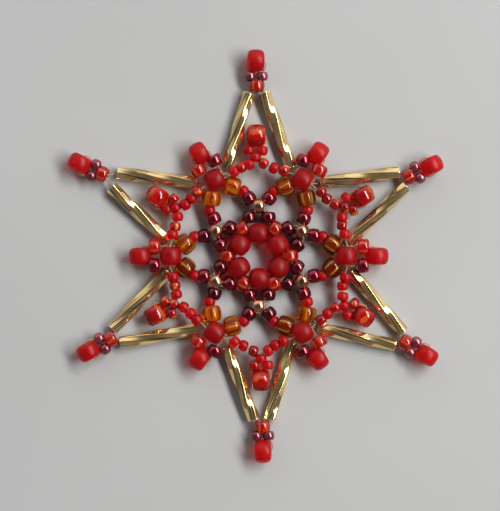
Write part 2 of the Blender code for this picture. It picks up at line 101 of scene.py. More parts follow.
class Slot(Enum):
    """The record's material slots."""

    MATTE_RED = "matte_red"
    CLEAR_RED = "clear_red"
    BURGUNDY = "burgundy"
    ROSE_GOLD = "rose_gold"
    AMBER = "amber"
    MAUVE = "mauve"
    GOLD_GLASS = "gold_glass"
    THREAD = "thread"


class Signal:
    """A shader output that takes part in Python arithmetic."""

    def __init__(self, sheet: ShaderSheet, socket: bpy.types.NodeSocket | None) -> None:
        """Wrap one output socket of a sheet's node, where it has one."""
        self.sheet = sheet
        self.socket = socket

    def __add__(self, other: Signal | float) -> Signal:
        """Signal + other."""
        return self.sheet.maths("ADD", self, other)

    def __radd__(self, other: float) -> Signal:
        """Number + signal."""
        return self.sheet.maths("ADD", other, self)

    def __sub__(self, other: Signal | float) -> Signal:
        """Signal - other."""
        return self.sheet.maths("SUBTRACT", self, other)

    def __rsub__(self, other: float) -> Signal:
        """Number - signal."""
        return self.sheet.maths("SUBTRACT", other, self)

    def __mul__(self, other: Signal | float) -> Signal:
        """Signal * other."""
        return self.sheet.maths("MULTIPLY", self, other)

    def __rmul__(self, other: float) -> Signal:
        """Number * signal."""
        return self.sheet.maths("MULTIPLY", other, self)

    def __abs__(self) -> Signal:
        """The size of the signal, without its sign."""
        return self.sheet.maths("ABSOLUTE", self)

    def cosine(self) -> Signal:
        """The cosine of the signal in radians."""
        return self.sheet.maths("COSINE", self)

    def eased(self, low: float, high: float) -> Signal:
        """Zero below low, one above high, and a smooth step between them."""
        sockets = {"Value": self, "From Min": low, "From Max": high}
        return self.sheet.node("ShaderNodeMapRange", {"interpolation_type": "SMOOTHSTEP"}, sockets)


class ShaderSheet:
    """The nodes of one material, or of the room's light."""

    def __init__(self, tree: bpy.types.NodeTree) -> None:
        """Start on an empty tree of nodes."""
        self.tree = tree
        self.tree.nodes.clear()

    def node(
        self,
        kind: str,
        settings: Mapping[str, object] | None = None,
        sockets: Mapping[str | int, object] | None = None,
        output: str | int = 0,
    ) -> Signal:
        """Add a node, set it up, then fill its sockets.

        Args:
            kind: The node's type.
            settings: Its own properties, which are set first.
            sockets: Values or signals by the input's name or number.
            output: The output that is wanted, by name or number.

        Returns:
            The wanted output.
        """
        made = self.tree.nodes.new(kind)
        for name, value in (settings or {}).items():
            setattr(made, name, value)
        for key, value in (sockets or {}).items():
            if isinstance(value, Signal):
                self.tree.links.new(value.socket, made.inputs[key])
            elif made.inputs[key].type == "RGBA":
                made.inputs[key].default_value = (*value, 1.0)
            else:
                made.inputs[key].default_value = value
        return Signal(self, made.outputs[output] if made.outputs else None)

    def maths(self, operation: str, *values: Signal | float) -> Signal:
        """A Math node on signals and numbers."""
        return self.node("ShaderNodeMath", {"operation": operation}, dict(enumerate(values)))

    def mix(self, share: Signal, first: Signal | Colour, second: Signal | Colour) -> Signal:
        """The first colour at a share of zero, the second at one, and a mix between them."""
        sockets = {MIX_SHARE: share, MIX_FIRST: first, MIX_SECOND: second}
        return self.node("ShaderNodeMix", {"data_type": "RGBA"}, sockets, MIX_RESULT)

    def noise(self, scale: float, detail: float = 2.0, vector: Signal | None = None) -> Signal:
        """A soft noise from zero to one.

        Args:
            scale: Lumps per metre, or per unit of the given vector.
            detail: How many finer layers it has.
            vector: Coordinates to use in place of the object's own.

        Returns:
            The noise's value.
        """
        place = vector or self.node("ShaderNodeTexCoord", output="Object")
        sockets = {"Vector": place, "Scale": scale, "Detail": detail}
        return self.node("ShaderNodeTexNoise", {}, sockets)

    def attribute(self, name: str, output: str) -> Signal:
        """One of the mesh's own attributes."""
        return self.node("ShaderNodeAttribute", {"attribute_name": name}, output=output)

    def parts(self, vector: Signal) -> tuple[Signal, ...]:
        """The three parts of a vector."""
        outputs = self.node("ShaderNodeSeparateXYZ", {}, {0: vector}).socket.node.outputs
        return tuple(Signal(self, output) for output in outputs)

    def distance(self, side: Signal, top: Signal) -> Signal:
        """How far a place lies from a bead's axis."""
        return self.maths("SQRT", side * side + top * top)

    def bump(self, height: Signal, depth: float, strength: float) -> Signal:
        """A normal that follows a height map, whose one stands for the depth in millimetres."""
        sockets = {"Strength": strength, "Distance": depth * MM, "Height": height}
        return self.node("ShaderNodeBump", {}, sockets)


@dataclass(frozen=True)
class Finish:
    """What something is made of, and the record's slot for it where it is part of the star."""

    name: str
    slot: Slot | None

    def sockets(self, sheet: ShaderSheet) -> Sockets:
        """The inputs of the finish's surface, as values or as signals of the sheet."""
        raise NotImplementedError

    @cache
    def material(self) -> bpy.types.Material:
        """The finish as nodes.

        Returns:
            The material, made once.
        """
        material = bpy.data.materials.new(self.name)
        material.use_nodes = True
        sheet = ShaderSheet(material.node_tree)
        shader = sheet.node("ShaderNodeBsdfPrincipled", {}, self.sockets(sheet))
        sheet.node("ShaderNodeOutputMaterial", {}, {"Surface": shader})
        return material


@dataclass(frozen=True)
class GlassFinish(Finish):
    """A bead's glass: its two body tones, painted glints and painted shade streaked along its
    hole, a painted hole, its gloss and its grain.

    Noise scales are in lumps per metre and depths in millimetres.
    """

    colour: Colour
    shade: Colour
    glint_and_hole_shade: Colour
    streaks: int = 0
    streak_edge: Span = (0.2, 0.8)
    streak_wander: float = 1.0
    streak_turn: float = 9.0
    streak_fade: Span = (0.02, 0.45)
    roughness: float = 0.12
    unevenness: float = 0.3
    metallic: float = 0.0
    bending: float = 1.5
    coat: float = 0.0
    coat_roughness: float = 0.04
    coat_bending: float = 1.8
    clear: float = 0.0
    glow: float = 0.0
    glow_spread: Colour = (1.0, 0.12, 0.08)
    glow_depth: float = 2.0
    grain: float = 0.0
    grain_depth: float = 0.03
    grain_scale: float = 9000.0
    cloud_scale: float = 700.0
    noise_detail: float = 3.0
    hole_share: float = 0.44
    hole_blur: float = 0.12
    variety: float = 0.55
    shade_span: Span = (0.15, 0.85)

    def sockets(self, sheet: ShaderSheet) -> Sockets:
        """Toned glass with painted glints and painted shade streaked along the hole, and a painted
        hole.

        Args:
            sheet: The material's nodes.

        Returns:
            The inputs of its surface.
        """
        along, side, top = sheet.parts(sheet.attribute("bead", "Vector"))
        tone = sheet.attribute("tone", "Fac")
        cloud = sheet.noise(self.cloud_scale, self.noise_detail)
        fine = sheet.noise(self.grain_scale, self.noise_detail)
        mood = (tone * self.variety + cloud * (1 - self.variety)).eased(*self.shade_span)
        body = sheet.mix(mood, self.shade, self.colour)
        # Painted reflection: bright streaks in the third colour stand for the silver lining's
        # glint seen through the glass, and darker streaks in the shade colour are painted shade
        # between them.
        if self.streaks:
            angle = sheet.maths("ARCTAN2", side, top)
            turned = tone * self.streak_turn
            wave = (angle * self.streaks + turned + cloud * self.streak_wander).cosine()
            drawn = (1 - abs(along)).eased(*self.streak_fade)
            body = sheet.mix((-1 * wave).eased(*self.streak_edge) * drawn, body, self.shade)
            body = sheet.mix(wave.eased(*self.streak_edge) * drawn, body, self.glint_and_hole_shade)
        # The hole is painted: a painted glint of the silver lining in lined beads, painted shade
        # in the hole of the other beads.
        wall = sheet.distance(side, top).eased(self.hole_share, self.hole_share + self.hole_blur)
        rough_span = self.unevenness * self.roughness
        sockets: Sockets = {
            "Base Color": sheet.mix(wall, self.glint_and_hole_shade, body),
            "Roughness": self.roughness + (fine - NOISE_MIDDLE) * rough_span,
            "Metallic": self.metallic,
            "IOR": self.bending,
            "Coat Weight": self.coat,
            "Coat Roughness": self.coat_roughness,
            "Coat IOR": self.coat_bending,
            "Transmission Weight": self.clear,
            "Subsurface Weight": self.glow,
            "Subsurface Radius": self.glow_spread,
            "Subsurface Scale": self.glow_depth * MM,
        }
        if self.grain:
            sockets["Normal"] = sheet.bump(fine, self.grain_depth, self.grain)
        return sockets


@dataclass(frozen=True)
class BugleFinish(Finish):
    """Silver-lined pale gold glass, with painted reflection streaks along its twist."""

    gold: Colour
    dark: Colour
    warm: Colour
    bright: Colour
    sides: int = BUGLE_SIDES
    streaks_along: float = 0.9
    streaks_around: float = 3.2
    streaks_apart: float = 30.0
    broad_scale: float = 1.0
    broad_span: Span = (0.34, 0.54)
    narrow_scale: float = 2.6
    narrow_detail: float = 3.0
    narrow_span: Span = (0.58, 0.72)
    corner_span: Span = (0.72, 0.98)
    corner_glint_span: Span = (0.3, 0.6)
    end_span: Span = (0.965, 0.995)
    hole_span: Span = (0.45, 0.56)
    roughness: float = 0.04
    unevenness: float = 0.08
    metallic: float = 0.9
    coat: float = 0.15
    coat_roughness: float = 0.05
    dent_depth: float = 0.03
    dents: float = 0.5

    def sockets(self, sheet: ShaderSheet) -> Sockets:
        """Painted reflection streaks, with painted highlights on the corners and ends and painted
        shade in the hole.

        Args:
            sheet: The material's nodes.

        Returns:
            The inputs of its surface.
        """
        along, side, top = sheet.parts(sheet.attribute("bead", "Vector"))
        tone = sheet.attribute("tone", "Fac")
        run = along * self.streaks_along + tone * self.streaks_apart
        around = {1: side * self.streaks_around, 2: top * self.streaks_around}
        drawn = sheet.node("ShaderNodeCombineXYZ", {}, {0: run, **around})
        broad = sheet.noise(self.broad_scale, vector=drawn)
        narrow = sheet.noise(self.narrow_scale, self.narrow_detail, drawn)
        angle = sheet.maths("ARCTAN2", side, top)
        corner = (angle * self.sides).cosine().eased(*self.corner_span)
        # Painted reflection: dark, gold and warm streaks along the twist stand for the facets'
        # reflections.
        body = sheet.mix(broad.eased(*self.broad_span), self.dark, self.gold)
        body = sheet.mix(narrow.eased(*self.narrow_span), body, self.warm)
        # Painted highlight: near-white glints along the corners, broken up by noise.
        body = sheet.mix(corner * narrow.eased(*self.corner_glint_span), body, self.bright)
        # Painted highlight on the cut ends.
        body = sheet.mix(abs(along).eased(*self.end_span), body, self.bright)
        # Painted shade: the hole is painted dark.
        wall = sheet.distance(side, top).eased(*self.hole_span)
        return {
            "Base Color": sheet.mix(wall, self.dark, body),
            "Roughness": self.roughness + narrow * self.unevenness,
            "Metallic": self.metallic,
            "Coat Weight": self.coat,
            "Coat Roughness": self.coat_roughness,
            "Normal": sheet.bump(broad, self.dent_depth, self.dents),
        }


@dataclass(frozen=True)
class ThreadFinish(Finish):
    """Fine twisted nylon."""

    colour: Colour
    shade: Colour
    plies: int = 2
    ply_span: Span = (-0.9, 0.6)
    ply_share: float = 0.6
    ply_depth: float = 0.03
    ply_relief: float = 0.7
    fuzz_scale: float = 14000.0
    fuzz_share: float = 0.5
    roughness: float = 0.5
    unevenness: float = 0.2
    glow: float = 0.15
    glow_depth: float = 0.2
    sheen: float = 0.2

    def sockets(self, sheet: ShaderSheet) -> Sockets:
        """Light plies with painted shade in the grooves between them, and a little fuzz.

        Args:
            sheet: The material's nodes.

        Returns:
            The inputs of its surface.
        """
        along, around, _ = sheet.parts(sheet.node("ShaderNodeUVMap", {"uv_map": "UVMap"}))
        # Painted shade: the grooves between the plies are darker.
        ply = ((along + around * self.plies) * FULL_TURN).cosine().eased(*self.ply_span)
        fuzz = sheet.noise(self.fuzz_scale)
        light = ply * (self.ply_share + fuzz * self.fuzz_share)
        return {
            "Base Color": sheet.mix(light, self.shade, self.colour),
            "Roughness": self.roughness + fuzz * self.unevenness,
            "Subsurface Weight": self.glow,
            "Subsurface Scale": self.glow_depth * MM,
            "Sheen Weight": self.sheen,
            "Normal": sheet.bump(ply, self.ply_depth, self.ply_relief),
        }


# Each glass's third colour is painted light: bright for the painted glints and hole of the lined
# beads, dark for the painted shade in the hole of the others.
FROSTED = GlassFinish(
    "frosted_red_glass", Slot.MATTE_RED,
    (0.80, 0.004, 0.010), (0.64, 0.002, 0.007), (0.44, 0.001, 0.003),
    roughness=0.40, bending=1.33, clear=0.75, glow=0.6, grain=0.2,
)
BRIGHT_FROSTED = GlassFinish(
    "bright_frosted_red_glass", Slot.MATTE_RED,
    (0.94, 0.007, 0.009), (0.80, 0.004, 0.006), (0.60, 0.002, 0.004),
    roughness=0.38, bending=1.33, clear=0.7, glow=0.6, grain=0.2,
)
SMALL_FROSTED = GlassFinish(
    "small_frosted_red_glass", Slot.MATTE_RED,
    (0.94, 0.008, 0.012), (0.74, 0.003, 0.006), (0.55, 0.002, 0.004),
    roughness=0.34, bending=1.33, clear=0.65, glow=0.6, grain=0.2, hole_share=0.3,
)
CLEAR_RED = GlassFinish(
    "clear_red_glass", Slot.CLEAR_RED,
    (0.90, 0.016, 0.008), (0.64, 0.006, 0.004), (1.0, 0.24, 0.06),
    streaks=6, streak_edge=(0.45, 1.0), streak_wander=2.5,
    roughness=0.05, coat=0.15, clear=0.7, glow=0.4,
)
DROP_RED = GlassFinish(
    "lined_red_glass", Slot.CLEAR_RED,
    (0.80, 0.010, 0.005), (0.50, 0.003, 0.002), (1.0, 0.20, 0.035),
    streaks=3, streak_edge=(0.65, 1.0), streak_wander=3.0,
    roughness=0.05, coat=0.1, clear=0.6, glow=0.4,
)
SMALL_LINED = GlassFinish(
    "small_lined_red_glass", Slot.CLEAR_RED,
    (0.70, 0.007, 0.004), (0.36, 0.002, 0.002), (1.0, 0.26, 0.045),
    streaks=2, streak_edge=(0.65, 1.0), streak_wander=3.0,
    roughness=0.05, coat=0.1, clear=0.5, glow=0.3, hole_share=0.3,
)
BURGUNDY = GlassFinish(
    "burgundy_glass", Slot.BURGUNDY,
    (0.29, 0.003, 0.018), (0.10, 0.001, 0.006), (0.05, 0.001, 0.004),
    roughness=0.16, metallic=0.8, coat=0.5,
)
ROSE_GOLD = GlassFinish(
    "rose_gold_glass", Slot.ROSE_GOLD,
    (0.88, 0.48, 0.28), (0.56, 0.25, 0.14), (0.34, 0.11, 0.06),
    roughness=0.2, metallic=1.0, coat=0.2,
)
AMBER = GlassFinish(
    "amber_glass", Slot.AMBER,
    (0.84, 0.17, 0.002), (0.22, 0.018, 0.001), (1.0, 0.48, 0.03),
    streaks=7, streak_edge=(0.6, 1.0), streak_wander=2.0,
    roughness=0.04, bending=1.4, clear=0.7, glow=0.3, variety=0.8,
)
MAUVE = GlassFinish(
    "mauve_glass", Slot.MAUVE,
    (0.38, 0.095, 0.115), (0.26, 0.055, 0.07), (0.08, 0.02, 0.02),
    roughness=0.24, metallic=0.75, coat=0.35, hole_share=0.3,
)
# Gold, warm and dark make the painted reflection streaks, dark also the painted shade in the hole,
# and bright the painted highlights on corners and ends.
GOLD_GLASS = BugleFinish(
    "gold_bugle_glass", Slot.GOLD_GLASS,
    (1.0, 0.68, 0.27), (0.17, 0.07, 0.01), (1.0, 0.74, 0.29), (1.0, 0.92, 0.70),
)
PEACH_THREAD = ThreadFinish(
    "peach_nylon_thread", Slot.THREAD, (0.62, 0.33, 0.14), (0.40, 0.18, 0.07)
)


def vertices_of(parts: Iterable[Part]) -> list[bmesh.types.BMVert]:
    """The vertices among the parts of a shape."""
    return [part for part in parts if isinstance(part, bmesh.types.BMVert)]


def extended(
    made: bmesh.types.BMesh, edges: EdgeLoop
) -> tuple[list[bmesh.types.BMVert], EdgeLoop]:
    """Extrude a loop of edges, with no move yet.

    Args:
        made: The shape.
        edges: The loop.

    Returns:
        The new loop's vertices and its edges.
    """
    grown = vertices_of(bmesh.ops.extrude_edge_only(made, edges=edges)["geom"])
    known = set(grown)
    return grown, [edge for edge in made.edges if known.issuperset(edge.verts)]


def set_down(made: bmesh.types.BMesh, name: str) -> bpy.types.Mesh:
    """Keep a finished shape as a mesh.

    Args:
        made: The shape, which is let go.
        name: The mesh's name.

    Returns:
        The mesh.
    """
    mesh = bpy.data.meshes.new(name)
    made.to_mesh(mesh)
    made.free()
    return mesh


def put_in(name: str, data: bpy.types.ID) -> bpy.types.Object:
    """Put something into the scene.

    Args:
        name: The object's name.
        data: Its mesh, curve, lamp or lens.

    Returns:
        The object.
    """
    thing = bpy.data.objects.new(name, data)
    bpy.context.collection.objects.link(thing)
    return thing


@dataclass(frozen=True)
class BeadSize:
    """A round bead's sizes, how finely it is turned, and its outline.

    A squareness of two gives a round outline, and more a boxy one. The shoulder is where the bead
    is longest, as a share of the way from its hole to its rim.
    """

    across: float
    along: float
    hole: float
    facets: int
    outline: int
    squareness: float
    shoulder: float = 0.5

    def turn(self, made: bmesh.types.BMesh) -> None:
        """Turn one bead at the origin, its hole along X, with its own coordinates as an attribute.

        Args:
            made: An empty shape to turn the bead in.
        """
        half = self.along / 2 * MM
        bore, rim = self.hole / 2 * MM, self.across / 2 * MM
        middle = bore + (rim - bore) * self.shoulder
        bmesh.ops.create_circle(made, segments=self.outline, radius=1.0)
        power = 2 / self.squareness
        for vertex in made.verts:
            along, out = (math.copysign(abs(part) ** power, part) for part in vertex.co.xy)
            wall = rim - middle if out > 0 else middle - bore
            vertex.co = (along * half, 0.0, middle + out * wall)
        bmesh.ops.spin(
            made, geom=made.verts[:] + made.edges[:], cent=(0, 0, 0), axis=(1, 0, 0),
            angle=FULL_TURN, steps=self.facets, use_merge=True,
        )
        bmesh.ops.recalc_face_normals(made, faces=made.faces)
        own = made.verts.layers.float_vector.new("bead")
        made.verts.layers.float.new("tone")
        for vertex in made.verts:
            vertex[own] = Vector((vertex.co.x / half, vertex.co.y / rim, vertex.co.z / rim))


ROUND = BeadSize(3.9, 3.3, 1.2, 36, 20, 2.05, 0.3)
TIP = BeadSize(4.2, 2.95, 1.3, 36, 16, 2.2)
DROP = BeadSize(4.1, 3.1, 1.3, 36, 16, 2.05)
LINK = BeadSize(3.2, 2.1, 1.1, 30, 14, 2.1)
STEM = BeadSize(3.0, 2.1, 1.0, 30, 14, 2.05)
MEDIUM = BeadSize(2.8, 2.0, 1.0, 30, 14, 2.05)
AMBER_BEAD = BeadSize(3.8, 2.8, 1.1, 34, 16, 2.2)
SMALL = BeadSize(2.1, 1.6, 0.62, 24, 12, 1.95)


def turned(degrees: float, axis: str = "Z") -> Matrix:
    """A turn about one axis."""
    return Matrix.Rotation(math.radians(degrees), 4, axis)


@dataclass(frozen=True)
class Seat:
    """Where a bead sits in its own frame, and the level heading of its hole in degrees."""

    x: float
    y: float
    z: float
    heading: float

    def centre(self) -> Vector:
        """The bead's centre in metres."""
        return Vector((self.x, self.y, self.z)) * MM

    def hole(self) -> Vector:
        """The direction of the hole."""
        heading = math.radians(self.heading)
        return Vector((math.cos(heading), math.sin(heading), 0.0))

    def mirrored(self) -> Seat:
        """The seat on the other side of the frame's own axis, with the hole mirrored too."""
        return Seat(-self.x, self.y, self.z, 180.0 - self.heading)

    def both(self) -> tuple[Seat, Seat]:
        """The seat and its mirror image."""
        return self, self.mirrored()

    def matrix(self, frame: Matrix) -> Matrix:
        """The place of a bead that is turned at the origin."""
        return frame @ Matrix.Translation(self.centre()) @ turned(self.heading)

    def way(
        self, size: BeadSize, past: float = 0.0, aside: Vector | None = None
    ) -> tuple[Vector, Vector]:
        """The thread's way in and out of the bead, along the hole's heading.

        Args:
            size: The bead's size.
            past: How far beyond the bead's ends.
            aside: How far off the hole's axis, in metres.

        Returns:
            The place where the thread goes in, and where it comes out.
        """
        reach = self.hole() * ((size.along / 2 + past) * MM)
        middle = self.centre() + (aside or Vector())
        return middle - reach, middle + reach


@dataclass(frozen=True)
class ThreadLay:
    """How the thread lies in the beads.

    It runs past a bead's ends where it turns, and bends there where it goes on. A strand is held
    in a valley bead, wide of the axis, and rounds share the holes of the inner net. Before it
    enters an end bead it passes the bead's flank, one of so many parts of its width further in.
    """

    past: float = 0.28
    bend: float = 0.12
    held: float = 0.35
    shared: float = 0.25
    wide: float = 0.43
    flank_parts: int = 3

    def onto(self, seat: Seat, size: BeadSize) -> tuple[Vector, Vector]:
        """The thread's last places before an end bead: at its flank, then at its hole."""
        hole = seat.way(size, self.past)[0]
        return hole - OUTWARD * (size.across / self.flank_parts * MM), hole


LAY = ThreadLay()


def mirrored(place: Vector) -> Vector:
    """The place on the other side of a frame's own axis."""
    return Vector((-place.x, place.y, place.z))


def returning(places: Sequence[Vector]) -> list[Vector]:
    """The mirror image of a way, walked back from its far end."""
    return [mirrored(place) for place in reversed(places)]


def in_frame(frame: Matrix, places: Iterable[Vector]) -> list[Vector]:
    """The places of a frame in the star's own frame."""
    return [frame @ place for place in places]


def seated(frames: Iterable[Matrix], *seats: Seat) -> list[Matrix]:
    """The places of some seats in each of some frames."""
    return [seat.matrix(frame) for frame in frames for seat in seats]


class Piece:
    """A piece of the star, whose mesh is made in place."""

    name: str
    finish: Finish

    def mesh(self) -> bpy.types.Mesh:
        """The piece's mesh."""
        raise NotImplementedError

    def show(self, body: str, *nodes: str) -> None:
        """Show the piece.

        Args:
            body: The body that carries it.
            nodes: The model's nodes that it stands for.
        """
        mesh = self.mesh()
        mesh.name = self.name
        mesh.materials.clear()
        mesh.materials.append(self.finish.material())
        mesh.shade_smooth()
        piece = put_in(self.name, mesh)
        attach(piece, body)
        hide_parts(*nodes)
        LOG.info("%s: %d faces on %s", self.name, len(mesh.polygons), body)


@dataclass
class Stringing(Piece):
    """Beads of one size and finish, each a little different from the next.

    Tilt and pitch are in degrees. The spread is the share by which a bead is longer, shorter or
    slimmer, and swelling the part of it by which a bead may also be wider.
    """

    name: str
    size: BeadSize
    finish: GlassFinish
    places: list[Matrix]
    tilt: float = 4.0
    pitch: float = 4.0
    spread: float = 0.02
    swelling: float = 0.25
    shift: float = 0.04

    def mesh(self) -> bpy.types.Mesh:
        """All the beads as one mesh.

        Returns:
            The mesh, in place.
        """
        chance = random.Random(self.name)
        made = bmesh.new()
        self.size.turn(made)
        master = made.verts[:] + made.edges[:] + made.faces[:]
        tone = made.verts.layers.float["tone"]
        for place in self.places:
            copy = vertices_of(bmesh.ops.duplicate(made, geom=master)["geom"])
            bmesh.ops.transform(made, matrix=place @ self.hand_set(chance), verts=copy)
            shade = chance.random()
            for vertex in copy:
                vertex[tone] = shade
        bmesh.ops.delete(made, geom=vertices_of(master))
        return set_down(made, self.name)

    def hand_set(self, chance: random.Random) -> Matrix:
        """The small tilt, size and shift of one bead that was strung by hand.

        Args:
            chance: The piece's own random numbers.

        Returns:
            The bead's change from its true place.
        """
        shift = Vector(chance.uniform(-self.shift, self.shift) * MM for _ in range(3))
        shift.z = abs(shift.z)
        turn = turned(chance.uniform(-self.tilt, self.tilt))
        nod = turned(chance.choice((-1, 1)) * self.pitch, "Y")
        along = 1 + chance.uniform(-self.spread, self.spread)
        across = 1 + chance.uniform(-self.spread, self.spread * self.swelling)
        grown = Matrix.Diagonal((along, across, across, 1.0))
        return Matrix.Translation(shift) @ turn @ nod @ grown


@dataclass
class Thread(Piece):
    """Lengths of the thread, each a path of places."""

    name: str
    paths: list[list[Vector]]
    closed: bool = False
    finish: ThreadFinish = PEACH_THREAD
    across: float = 0.22
    pitch: float = 0.5
    corner_cut: float = 0.25
    roundness: int = 2
    weld_gap: float = 0.001

    def rounded(self, path: list[Vector]) -> list[Vector]:
        """The path with its corners cut.

        Args:
            path: Places along the thread.

        Returns:
            Twice as many places.
        """
        following = path[1:] + path[:1] if self.closed else path[1:]
        shares = (self.corner_cut, 1 - self.corner_cut)
        cut = [start.lerp(end, share) for start, end in zip(path, following) for share in shares]
        return cut if self.closed else [path[0], *cut, path[-1]]

    def mesh(self) -> bpy.types.Mesh:
        """All the lengths as one mesh, with a map along and around the thread.

        Returns:
            The mesh, in place.
        """
        curve = bpy.data.curves.new(self.name, "CURVE")
        curve.dimensions = "3D"
        curve.twist_mode = "Z_UP"
        curve.bevel_depth = self.across / 2 * MM
        curve.bevel_resolution = self.roundness
        curve.use_fill_caps = not self.closed
        length = 0.0
        for path in self.paths:
            smooth = self.rounded(self.rounded(path))
            spline = curve.splines.new("POLY")
            spline.use_cyclic_u = self.closed
            spline.points.add(len(smooth) - 1)
            for point, place in zip(spline.points, smooth):
                point.co = (*place, 1.0)
            steps = [(end - start).length for start, end in zip(smooth, smooth[1:])]
            length = max(length, sum(steps))
        model = put_in(self.name, curve)
        bpy.context.view_layer.update()
        seen = model.evaluated_get(bpy.context.evaluated_depsgraph_get())
        mesh = bpy.data.meshes.new_from_object(seen)
        bpy.data.objects.remove(model)
        bpy.data.curves.remove(curve)
        self.weld(mesh, length)
        return mesh

    def weld(self, mesh: bpy.types.Mesh, length: float) -> None:
        """Close the caps and stretch the map to whole turns of the ply.

        Args:
            mesh: The thread's mesh.
            length: The longest path's length in metres.
        """
        made = bmesh.new()
        made.from_mesh(mesh)
        bmesh.ops.remove_doubles(made, verts=made.verts, dist=self.weld_gap * MM)
        map_layer = made.loops.layers.uv["UVMap"]
        for face in made.faces:
            for loop in face.loops:
                loop[map_layer].uv.x *= length / (self.pitch * MM)
        bmesh.ops.recalc_face_normals(made, faces=made.faces)
        made.to_mesh(mesh)
        made.free()


@dataclass
class Bugle(Piece):
    """A six-sided bead with soft corners, twisted along its length, with a round hole.

    Its length is in metres, its twist in degrees, and its place is that of a bugle along X.
    """

    name: str
    seed: int
    length: float
    place: Matrix
    finish: BugleFinish = GOLD_GLASS
    across: float = 2.4
    hole: float = 1.0
    sides: int = BUGLE_SIDES
    twist: float = 115.0
    corner: float = 0.13
    corner_cuts: int = 3
    flat_cuts: int = 4
    steps: int = 48
    rim: float = 0.05
    rim_cuts: int = 2

    def mesh(self) -> bpy.types.Mesh:
        """The bead with its own roll and tone.

        Returns:
            The mesh, in place.
        """
        made = bmesh.new()
        self.pierce(made, *self.wall(made))
        chance = random.Random(self.seed)
        self.mark(made, chance.random())
        roll = Matrix.Rotation(chance.uniform(0.0, FULL_TURN / self.sides), 4, "X")
        bmesh.ops.transform(made, matrix=self.place @ roll, verts=made.verts)
        return set_down(made, self.name)

    def wall(self, made: bmesh.types.BMesh) -> tuple[EdgeLoop, EdgeLoop]:
        """Draw the outline at one end, then draw it out along X while it turns.

        Args:
            made: An empty shape.

        Returns:
            The edges of the near end and of the far end.
        """
        upright = Matrix.Rotation(math.pi / 2, 4, "Y")
        first = Matrix.Translation((-self.length / 2, 0.0, 0.0)) @ upright
        turn = Matrix.Rotation(math.radians(self.twist) / self.steps, 4, "X")
        stride = Matrix.Translation((self.length / self.steps, 0.0, 0.0)) @ turn
        radius = self.across / 2 * MM
        bmesh.ops.create_circle(made, segments=self.sides, radius=radius, matrix=first)
        bmesh.ops.bevel(
            made, geom=made.verts[:], affect="VERTICES", offset=self.corner * MM,
            segments=self.corner_cuts, profile=0.5, material=-1,
        )
        flats = [edge for edge in made.edges if edge.calc_length() > self.corner * MM]
        bmesh.ops.subdivide_edges(made, edges=flats, cuts=self.flat_cuts)
        near = far = made.edges[:]
        for _ in range(self.steps):
            moved, far = extended(made, far)
            bmesh.ops.transform(made, matrix=stride, verts=moved)
        return near, far

    def pierce(self, made: bmesh.types.BMesh, near: EdgeLoop, far: EdgeLoop) -> None:
        """Close the ends down to the hole, line the hole and round the rims.

        Args:
            made: The open wall.
            near: The edges of one end.
            far: The edges of the other end.
        """
        bores: EdgeLoop = []
        for rim in (near, far):
            moved, bore = extended(made, rim)
            for vertex in moved:
                vertex.co.yz = vertex.co.yz.normalized() * (self.hole / 2 * MM)
            bores += bore
        bmesh.ops.bridge_loops(made, edges=bores)
        bmesh.ops.recalc_face_normals(made, faces=made.faces)
        bmesh.ops.bevel(
            made, geom=near + far, affect="EDGES", offset=self.rim * MM,
            segments=self.rim_cuts, profile=0.5, material=-1,
        )

    def mark(self, made: bmesh.types.BMesh, shade: float) -> None:
        """Give the bead its own coordinates, which follow the twist.

        Args:
            made: The bead at the origin.
            shade: Its own tone, from zero to one.
        """
        own = made.verts.layers.float_vector.new("bead")
        tone = made.verts.layers.float.new("tone")
        rim = self.across / 2 * MM
        for vertex in made.verts:
            share = vertex.co.x / self.length + 0.5
            flat = Matrix.Rotation(-math.radians(self.twist) * share, 3, "X") @ vertex.co
            vertex[own] = Vector((2 * share - 1, flat.y / rim, flat.z / rim))
            vertex[tone] = shade


def numbered(name: str) -> list[str]:
    """The names of a node that comes once for each point."""
    return [f"{name}_{number + 1}" for number in range(POINTS)]


@dataclass
class StarFrame:
    """The star's middle, and the frames of its points and valleys."""

    middle: Vector

    @classmethod
    def found(cls) -> StarFrame:
        """Find the middle between the model's ring beads.

        Returns:
            The frame around it.
        """
        corners = [corner for name in numbered("ring_bead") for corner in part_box(name)]
        middle = sum(corners, Vector()) / len(corners)
        return cls(Vector((middle.x, middle.y, 0.0)))

    def point(self, number: float) -> Matrix:
        """From a point's own frame to the star's, with half numbers between two points."""
        return Matrix.Translation(self.middle) @ Matrix.Rotation(number * SECTOR, 4, "Z")

    def valley(self, number: int) -> Matrix:
        """From a valley's own frame to the star's."""
        return self.point(number + 0.5)

    def points(self) -> list[Matrix]:
        """The frames of all the points."""
        return [self.point(number) for number in range(POINTS)]

    def valleys(self) -> list[Matrix]:
        """The frames of all the valleys."""
        return [self.valley(number) for number in range(POINTS)]

    @staticmethod
    def valley_on_right() -> Matrix:
        """From the frame of the valley on a point's right to the point's own frame."""
        return Matrix.Rotation(-SECTOR / 2, 4, "Z")

    def around(
        self, point: Sequence[Vector], valley: Sequence[Vector], onward: Sequence[Vector] = ()
    ) -> list[Vector]:
        """A closed round of thread.

        Args:
            point: Its way at each point, in the point's frame.
            valley: Its way at the valley that follows, in the valley's frame.
            onward: Its way on to the next point, in that point's frame.

        Returns:
            Places along the round.
        """
        path: list[Vector] = []
        for number in range(POINTS):
            path += in_frame(self.point(number), point)
            path += in_frame(self.valley(number), valley)
            path += in_frame(self.point(number + 1), onward)
        return path


